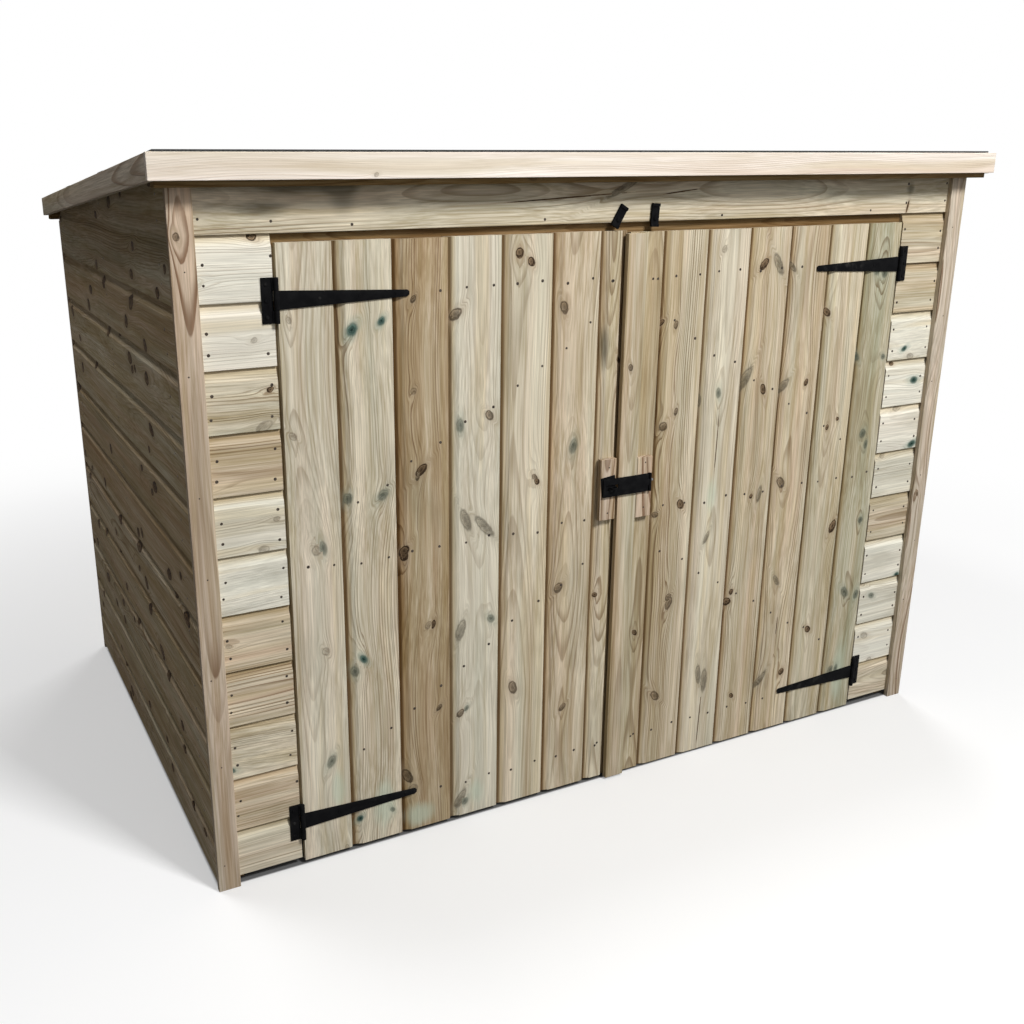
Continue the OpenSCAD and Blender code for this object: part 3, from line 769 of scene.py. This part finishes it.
def door_boards(node, body, joints, low, high, kinds_of_board, marks, stepped):
    """Upright shiplap boards of a door: each lip is at its right edge and each scoop at its left."""
    rng = rng_for(node)
    knot_rng = rng_for(node + "_knots")
    parts = []
    axes = (X, Y, Z)
    edges = [low.x] + [j * MM for j in joints] + [high.x]
    for number, (left, right) in enumerate(zip(edges, edges[1:])):
        scooped = number > 0
        last = number == len(edges) - 2
        full = high.y - low.y
        section = shiplap_section(right - left, full, scooped=scooped, lapped=not last)
        if scooped:
            short = COVER * MM - (right - left)
            section = [(a - short, d) for a, d in section if a - short > -0.1 * MM or a <= 1.1 * MM]
            section = [(max(a, 0.0), d) for a, d in section]
        if last and stepped:
            section = stepped_section(right - left, full, *stepped)
        end = rng.uniform(0.0, 1.4) * MM
        origin = Vector((right, low.y, low.z + rng.uniform(0.0, 0.8) * MM))
        length = high.z - end - origin.z
        bm = board(section, length, origin, -RIGHT, BACK, UP, 8 * MM)
        part = new_object(node, bm, cladding)
        tone, *growth = kinds_of_board[number]
        spots = rows_of_knots(knot_rng, left / MM, right / MM, high.z / MM, *growth)
        spots += [m for m in marks if left / MM < m[0] < right / MM]
        # The door boards' scoops get painted shade at full strength
        mark_grain(part, axes, tone, spots, rng, low.y)
        smooth_with_arrises(part)
        parts.append(part)
    return hand_in(joined(node + "_shiplap", parts), body, "cladding", node)


def stepped_section(wide, thick, step_wide, step_deep):
    """Section of the left door's last board, whose free edge is stepped back behind the cover strip."""
    section = shiplap_section(wide, thick, scooped=True, lapped=False)
    short = COVER * MM - wide
    kept = [(a - short, d) for a, d in section if a - short > step_wide + 2 * MM]
    lip = [(0.0, thick), (0.0, step_deep), (step_wide, step_deep)]
    lip += [(step_wide, 1.0 * MM), (step_wide + 1 * MM, 0.0)]
    split = next(i for i, (a, d) in enumerate(kept) if d >= thick - 0.01 * MM) + 1
    return kept[:split] + lip + kept[split:]


# ---- The shed ----

cladding = timber(
    "shiplap_timber", (0.635, 0.56, 0.42), (0.625, 0.535, 0.405), (0.4, 0.315, 0.24), ring=5.0)
trim_timber = timber(
    "trim_timber", (0.57, 0.48, 0.38), (0.56, 0.455, 0.355), (0.42, 0.33, 0.27),
    ring=6.5, stain=0.1, bold=1.7)
fascia_timber = timber(
    "fascia_timber", (0.97, 0.90, 0.815), (0.96, 0.87, 0.785), (0.88, 0.80, 0.73),
    ring=3.4, stain=0.0, figure=0.35)
sawn_timber = timber(
    "sawn_timber", (0.52, 0.42, 0.275), (0.50, 0.385, 0.26), (0.55, 0.46, 0.37),
    ring=3.2, stain=0.3, sawn=0.5)
board_timber = timber(
    "board_timber", (0.56, 0.46, 0.31), (0.54, 0.43, 0.30), (0.55, 0.46, 0.37), stain=0.25)
iron = black_paint()
nail_metal = nail_steel()
zinc_metal = zinc()
felt = mineral_felt()


def walls():
    level_boards(
        "wall_front_left", -BACK, LEFT_PANEL_TONES, chance=1, kinds=PANEL_KNOTS, pitch=8)
    level_boards(
        "wall_front_right", -BACK, RIGHT_PANEL_TONES, chance=1, kinds=PANEL_KNOTS, pitch=8)
    level_boards("header_board", -BACK, ("cream",), HEADER_MARKS, pitch=8)
    # The left wall takes darker tones than the other walls, with the shade tone: painted shade, as that wall
    # stands in shadow. Its scoops get less painted shade.
    level_boards(
        "wall_left", -RIGHT, ["brown", "shade", "tan", "shade"], roof_cut=True,
        chance=7, knotty=1.5, kinds=("brown", "dead"), scoop_shade=0.35)
    level_boards("wall_right", RIGHT, ["straw", "pale", "warm", "grey"], roof_cut=True)
    level_boards("wall_back", BACK, ["straw", "grey", "warm", "tan"], pitch=12)


def doors():
    # The turned buttons bear on the doors, so the boards lie a hair behind the buttons' backs
    low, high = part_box("left_door_boards")
    low.y += 0.15 * MM
    step = (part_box("left_door_boards")[1].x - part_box("left_hasp_block")[1].x, 5 * MM)
    joints = (-634, -522, -410, -298, -186, -78)
    door_boards("left_door_boards", "left_door", joints, low, high, LEFT_DOOR_BOARDS, LEFT_DOOR_MARKS, step)
    low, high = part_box("right_door_boards")
    low.y += 0.15 * MM
    joints = (74, 186, 298, 410, 522, 634)
    door_boards(
        "right_door_boards", "right_door", joints, low, high, RIGHT_DOOR_BOARDS, RIGHT_DOOR_MARKS, None)
    planed("cover_strip", "right_door", "cladding", cladding, "tan", pitch=8)


def timbers():
    planed("trims_front", "shed", "trim", trim_timber, ("pink", "cream"), pitch=8)
    planed("trims_back", "shed", "trim", trim_timber, "warm", pitch=12)
    planed("fascia_front", "shed", "fascia", fascia_timber, "pink", chance=0.5, pitch=12)
    for side in ("left", "right"):
        planed("barge_" + side, "shed", "fascia", trim_timber, "pale", chance=1.5, pitch=12)
        planed(side + "_studs", "shed", "framing", sawn_timber, ("tan", "warm", "straw"))
        planed(side + "_rails", "shed", "framing", sawn_timber, ("tan", "warm", "straw"))
        door = side + "_door"
        planed(door + "_ledges", door, "framing", sawn_timber, ("straw", "warm", "grey"), pitch=15)
        planed(door + "_braces", door, "framing", sawn_timber, ("straw", "warm"), pitch=15)
        planed(side + "_hasp_block", door, "planed_block", trim_timber, "pink", chance=0, easing=0.8)
    for node in ("front_studs", "back_studs", "back_rails", "roof_rafters"):
        planed(node, "shed", "framing", sawn_timber, ("tan", "warm", "straw"))
    # The lintel, the floor bearers and the roof battens take the dark tone: painted shade, for timbers that
    # sit in shadow under the header, the floor and the fascia.
    planed("front_rails", "shed", "framing", sawn_timber, "dark")
    planed("floor_bearers", "shed", "framing", sawn_timber, "dark")
    planed("roof_battens", "shed", "framing", sawn_timber, "dark")


def plain_boards(node, slot, along_roof=False):
    """Close boards across the shed, for the floor and the roof."""
    rng = rng_for(node)
    low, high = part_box(node)
    fall = ROOF_FALL * (high.y - low.y) if along_roof else 0.0
    thick = high.z - low.z - fall
    count = round((high.y - low.y) / (COVER * MM))
    wide = (high.y - low.y) / count
    parts = []
    for i in range(count):
        section = plain_section(wide - 0.6 * MM, thick, easing=1.5 * MM)
        origin = Vector((low.x, low.y + wide * i + 0.3 * MM, high.z))
        bm = board(section, high.x - low.x, origin, BACK, -UP, RIGHT, 20 * MM)
        if along_roof:
            shear = Matrix.Identity(4)
            shear[2][1] = -ROOF_FALL
            shear[2][3] = ROOF_FALL * low.y
            bmesh.ops.transform(bm, verts=bm.verts, matrix=shear)
        board_low, board_high = bounds_of(bm)
        part = new_object(node, bm, board_timber)
        axes = (Y, Z, X)
        spots = chance_knots(rng, board_low, board_high, axes, rng.randint(2, 5), wide)
        mark_grain(part, axes, rng.choice(("straw", "warm", "tan", "grey")), spots, rng)
        smooth_with_arrises(part)
        parts.append(part)
    return hand_in(joined(node + "_boards", parts), "shed", slot, node)


def ironmongery():
    bodies = {
        "hinge_plates_left": "shed", "hinge_plates_right": "shed", "button_screws": "shed",
        "left_door_straps": "left_door", "right_door_straps": "right_door", "hasp_staple": "left_door",
        "hasp_leaf": "right_door", "hasp_flap": "hasp_flap", "left_turn_button": "left_turn_button",
        "right_turn_button": "right_turn_button",
    }
    for node, body in bodies.items():
        parts = []
        for bm in solids_of(node):
            eased(bm, 0.35 * MM, 2, 35)
            part = new_object(node, bm, iron)
            smooth_with_arrises(part, 35)
            parts.append(part)
        hand_in(joined(node + "_iron", parts), body, "ironmongery", node)


def heads(name, body, material, spots, facing, radius, height):
    """Nail or screw heads as one piece; each spot is where a head stands on its surface, in millimetres."""
    rng = rng_for(name)
    bm = bmesh.new()
    turn = facing.to_track_quat("Z", "Y").to_matrix().to_4x4()
    for spot in spots:
        size = radius * rng.uniform(0.85, 1.12)
        place = Matrix.Translation(Vector(spot) * MM + facing * (height * MM * 0.42)) @ turn
        bmesh.ops.create_cone(
            bm, cap_ends=True, segments=10, radius1=size * MM, radius2=size * 0.72 * MM, depth=height * MM,
            matrix=place,
        )
    piece = new_object(name, bm, material)
    smooth_with_arrises(piece, 40)
    return hand_in(piece, body, "ironmongery")


def door_nails(side):
    """Two nails a board into each ledge and along both braces, but none under the straps."""
    rng = rng_for(side + " nails")
    edges = (-735, -634, -522, -410, -298, -186, -78, -27) if side == "left" else (
        27, 74, 186, 298, 410, 522, 634, 735)
    spots = []
    for left, right in zip(edges, edges[1:]):
        middle, half = (left + right) / 2 + 8, (right - left) / 2 - 27
        for x in (middle - half, middle + half):
            heights = [NAIL_ROWS[1] + rng.uniform(-8, 8)]
            if abs(x) < STRAP_END:
                heights += [NAIL_ROWS[0] + rng.uniform(-5, 5), NAIL_ROWS[2] + rng.uniform(-5, 5)]
            share = (abs(x) - BRACE_TOP) / (BRACE_FOOT - BRACE_TOP)
            if 0.06 < share < 0.94:
                for low, high in BRACE_HEIGHTS:
                    heights.append(high + (low - high) * share + rng.uniform(-9, 9))
            spots += [(x + rng.uniform(-4, 4), -612, z) for z in heights]
    heads(side + "_door_nails", side + "_door", nail_metal, spots, -BACK, 2.9, 0.8)


def wall_nails():
    """Two nails where each board crosses a stud."""
    rng = rng_for("wall nails")
    spots = []
    for number in range(10):
        top = HEAD_Z - COVER * number
        for x, drops in ((-861, (46, 82)), (-752, (34, 90)), (752, (36, 86)), (861, (42, 84))):
            hinge = abs(x) < 800 and number in (0, 9)
            for drop in drops[:1] if hinge else drops:
                side = 6 if hinge and drop == 34 else 0
                spots.append((x + rng.uniform(-4, 4) + side, -610, top - drop + rng.uniform(-4, 4)))
    spots += [(x, -610, z) for x, z in HEADER_NAILS]
    heads("front_wall_nails", "shed", nail_metal, spots, -BACK, 2.9, 0.8)
    for name, face, facing in (("left", -914.5, -RIGHT), ("right", 914.5, RIGHT)):
        spots = []
        for number in range(-1, 10):
            top = HEAD_Z - COVER * number
            for y in (-547, 11, 570):
                for drop in (44, 84):
                    roof = HEAD_Z + 100 - (y + 547) * ROOF_FALL
                    if top - drop < roof:
                        spots.append((face, y + rng.uniform(-5, 5), top - drop + rng.uniform(-5, 5)))
        heads(name + "_wall_nails", "shed", nail_metal, spots, facing, 2.3, 0.7)
    spots = []
    for number in range(10):
        for x in (-880, -440, 0, 440, 880):
            for drop in (44, 84):
                z = HEAD_Z - COVER * number - drop
                if z < 1200:
                    spots.append((x + rng.uniform(-5, 5), 633, z + rng.uniform(-4, 4)))
    heads("back_wall_nails", "shed", nail_metal, [s for s in spots if abs(s[0]) < 860], BACK, 2.3, 0.7)


def trim_nails():
    rng = rng_for("trim nails")
    spots = [(side * (893 + rng.uniform(-8, 8)), -622, z + rng.uniform(-25, 25))
             for side in (-1, 1) for z in range(60, 1290, 190)]
    heads("front_trim_nails", "shed", nail_metal, spots, -BACK, 1.5, 0.5)
    heads("fascia_nails", "shed", zinc_metal, [(x, -664.6, z) for x, z in FASCIA_NAILS], -BACK, 2.4, 0.3)
    for name, side, facing in (("left", -1, -RIGHT), ("right", 1, RIGHT)):
        spots = [
            (side * 947.6, y, 1345 - (y + 665) * ROOF_FALL + up)
            for y in range(-630, 650, 205) for up in (-8, 8)]
        heads(name + "_barge_nails", "shed", nail_metal, spots, facing, 1.8, 0.3)


def screws():
    """Pan-head screws on the hinges and straps, blacked like the iron, nails in the hasp blocks, and one
    plated screw.
    """
    for side, way in (("left", -1), ("right", 1)):
        plate = [(way * 755, -613.5, z + up) for z in HINGE_HEIGHTS for up in (-28, 0, 28)]
        heads(side + "_plate_screws", "shed", iron, plate, -BACK, 3.4, 1.4)
        strap = [(way * x, -614.0, z) for z in HINGE_HEIGHTS for x in (515, 585, 660)]
        heads(side + "_strap_screws", side + "_door", iron, strap, -BACK, 3.2, 1.4)
        block = [(way * 46 + 1, -624, z) for z in BLOCK_NAILS]
        heads(side + "_block_nails", side + "_door", nail_metal, block, -BACK, 1.8, 0.6)
    heads("plated_screw", "right_door", zinc_metal, [(75, -612, 700)], -BACK, 3.0, 1.2)


def roofing():
    """Mineral felt in three lapped strips, turned down over the edges and held by clout nails."""
    rng = rng_for("felt")
    low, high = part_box("roof_felt")
    top = high.z - 0.4 * MM
    parts = list(solids_of("roof_felt"))
    for bm in parts:
        eased(bm, 0.9 * MM, 2, 15)
    for y in FELT_LAPS:
        section = plain_section(60 * MM, 1.6 * MM, easing=0.7 * MM)
        z = top - (y * MM - low.y) * ROOF_FALL + 1.4 * MM
        corner = Vector((low.x + 1 * MM, y * MM, z))
        bm = board(section, high.x - low.x - 2 * MM, corner, BACK, -UP, RIGHT, 40 * MM)
        ripples = [rng.uniform(-1.0, 1.0) for _ in range(64)]
        for v in bm.verts:
            v.co.z -= (v.co.y - y * MM) * ROOF_FALL
            if v.co.y > y * MM + 55 * MM:
                v.co.y += ripples[int((v.co.x + 1) * 30) % 64] * 1.2 * MM
        parts.append(bm)
    felts = []
    for bm in parts:
        part = new_object("roof_felt_sheet", bm, felt)
        smooth_with_arrises(part, 30)
        felts.append(part)
    hand_in(joined("roof_felt_sheet", felts), "shed", "felt", "roof_felt")
    lean = Vector((0, math.sin(math.atan(ROOF_FALL)), math.cos(math.atan(ROOF_FALL))))
    edge = [(x, y) for x in (-922, 922) for y in range(-600, 640, 95)]
    edge += [(x, y + LAP_NAILS) for y in FELT_LAPS for x in range(-860, 900, 78)]
    edge += [(x, y) for y in (-638, 640) for x in range(-880, 900, 110)]
    clouts = [
        (x + rng.uniform(-5, 5), y,
         (top - (y * MM - low.y) * ROOF_FALL) / MM + (1.6 if y in LAP_LINES else 0.2))
        for x, y in edge if y > -636]
    heads("felt_clouts", "shed", zinc_metal, clouts, lean, 5.0, 0.9)


FELT_LAPS = (-200, 240)
LAP_NAILS = 50
LAP_LINES = tuple(y + LAP_NAILS for y in FELT_LAPS)
HINGE_HEIGHTS = (101, 1125)
BLOCK_NAILS = (645, 744)
NAIL_ROWS = (1128, 630, 91)
STRAP_END = 480
BRACE_TOP, BRACE_FOOT = 60, 675
BRACE_HEIGHTS = ((180, 560), (690, 1060))
HEADER_NAILS = (
    (-866, 1326), (-862, 1262), (-739, 1256), (-594, 1247), (-205, 1246), (218, 1244), (635, 1245),
    (743, 1259), (866, 1262), (744, 1300), (866, 1300),
)
FASCIA_NAILS = ((-921, 1344), (-862, 1352), (-440, 1346), (18, 1345), (455, 1343), (893, 1347), (926, 1345))


def stage_set():
    """Pale floor that fades to white and is dark under the shed as a painted shadow, a white surround, and
    soft lamps above the front and the left side.
    """
    bm = bmesh.new()
    bmesh.ops.create_grid(bm, x_segments=1, y_segments=1, size=60)
    ground = Finish("pale_floor")
    ground.shader.inputs["Roughness"].default_value = 0.9
    glow = ground.node("Emission")
    path = ground.node("LightPath").outputs
    seen = ground.math("ADD", path["Is Camera Ray"], path["Is Glossy Ray"])
    seen = ground.math("ADD", seen, path["Is Transmission Ray"], clamp=True)
    place = ground.node("TexCoord").outputs["Object"]
    x, y, _ = ground.split(place)
    # Under the shed's footprint the floor is dark to every ray and does not glow: a painted shadow
    deep = ground.math("MULTIPLY", ground.math("ABSOLUTE", y), 1.49)
    off_painted_shadow = ground.step(ground.math("MAXIMUM", ground.math("ABSOLUTE", x), deep), 0.905, 0.915)
    shown = ground.math("MULTIPLY", off_painted_shadow, seen)
    floor_colour = ground.mix(shown, (0.13, 0.13, 0.13, 1), (0.93, 0.93, 0.93, 1))
    ground.put(ground.shader.inputs["Base Color"], floor_colour)
    away = ground.node("VectorMath", operation="LENGTH")
    ground.put(away.inputs[0], place)
    share = ground.step(away.outputs["Value"], 1.0, 3.2, 0.3, 1.0)
    share = ground.math("MULTIPLY", share, shown)
    both = ground.node("MixShader")
    ground.put(both.inputs[0], share)
    ground.put(both.inputs[1], ground.shader.outputs[0])
    ground.put(both.inputs[2], glow.outputs[0])
    ground.put(ground.tree.nodes["Material Output"].inputs[0], both.outputs[0])
    floor = new_object("stage_floor", bm, ground.material)

    world = bpy.data.worlds.new("surround")
    bpy.context.scene.world = world
    world.use_nodes = True
    nodes, links = world.node_tree.nodes, world.node_tree.links
    sky = nodes["Background"]
    sky.inputs["Color"].default_value = (1.0, 1.0, 1.0, 1)
    path = nodes.new("ShaderNodeLightPath").outputs
    level = nodes.new("ShaderNodeMapRange")
    level.inputs["To Min"].default_value = 0.08
    level.inputs["To Max"].default_value = 1.0
    shown = path["Is Camera Ray"]
    for kind in ("Is Glossy Ray", "Is Transmission Ray"):
        both = nodes.new("ShaderNodeMath")
        links.new(shown, both.inputs[0])
        links.new(path[kind], both.inputs[1])
        shown = both.outputs[0]
    links.new(shown, level.inputs["Value"])
    links.new(level.outputs[0], sky.inputs["Strength"])

    for name, place, aim, size, power in (
        ("key", (0.85, -3.8, 4.35), (0.0, -0.6, 0.7), 0.9, 228),
        ("front_fill", (0.4, -5.0, 2.2), (0.0, -0.6, 0.7), 4.0, 45),
        ("left_top", (-1.45, 0.3, 4.4), (-0.9, 0.2, 0.6), 0.8, 62),
        ("back", (2.6, 4.6, 3.2), (0.0, 0.4, 0.6), 2.6, 165),
    ):
        lamp = bpy.data.lights.new(name, "AREA")
        lamp.size = size
        lamp.energy = power
        holder = bpy.data.objects.new(name, lamp)
        bpy.context.scene.collection.objects.link(holder)
        holder.location = place
        holder.rotation_euler = (Vector(aim) - Vector(place)).to_track_quat("-Z", "Y").to_euler()


def camera():
    lens = bpy.data.cameras.new("view")
    lens.lens = 38.41
    lens.sensor_width = 36.0
    lens.shift_x = 0.054
    lens.shift_y = -0.0074
    holder = bpy.data.objects.new("view", lens)
    bpy.context.scene.collection.objects.link(holder)
    holder.location = (-1.3096, -2.4309, 1.3525)
    yaw, pitch, roll = math.radians(-26.736), math.radians(90 - 17.487), math.radians(-0.117)
    holder.rotation_euler = (Matrix.Rotation(yaw, 3, "Z") @ Matrix.Rotation(pitch, 3, "X")
                             @ Matrix.Rotation(roll, 3, "Z")).to_euler()
    bpy.context.scene.camera = holder


walls()
doors()
timbers()
plain_boards("floor_deck", "boarding")
plain_boards("roof_deck", "boarding", along_roof=True)
ironmongery()
door_nails("left")
door_nails("right")
wall_nails()
trim_nails()
screws()
roofing()
camera()
stage_set()
bpy.context.scene.view_settings.view_transform = "Standard"
